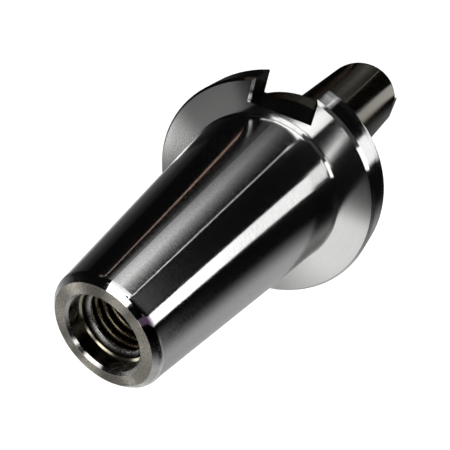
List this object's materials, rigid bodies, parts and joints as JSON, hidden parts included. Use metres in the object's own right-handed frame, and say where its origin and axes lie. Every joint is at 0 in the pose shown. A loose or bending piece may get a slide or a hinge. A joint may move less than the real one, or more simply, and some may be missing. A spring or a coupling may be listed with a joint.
{
  "type": "face mill holder",
  "caption": "Steel taper-shank holder for shell face mills: long ground taper with slotted flange, collar and slim nose with a keyed pilot.",
  "frame": {"origin": "centre of the gauge plane of the taper, on the axis, where the taper is 44.45 mm across", "axes": "+Z along the axis towards the small end of the taper, as it goes up into a vertical spindle; +X through the middle of one drive slot of the flange; the drive keys lie on Y"},
  "size_m": [0.0608, 0.063, 0.1788],
  "materials": {
    "ground_steel": "hardened tool steel, finely ground taper and flange, turned small end, dark oxide film on the nose",
    "key_steel": "hardened steel, darkened, ground flanks"
  },
  "bodies": {
    "root": {"holder_body": "ground_steel", "drive_key_1": "key_steel", "drive_key_2": "key_steel"}
  },
  "joints": []
}
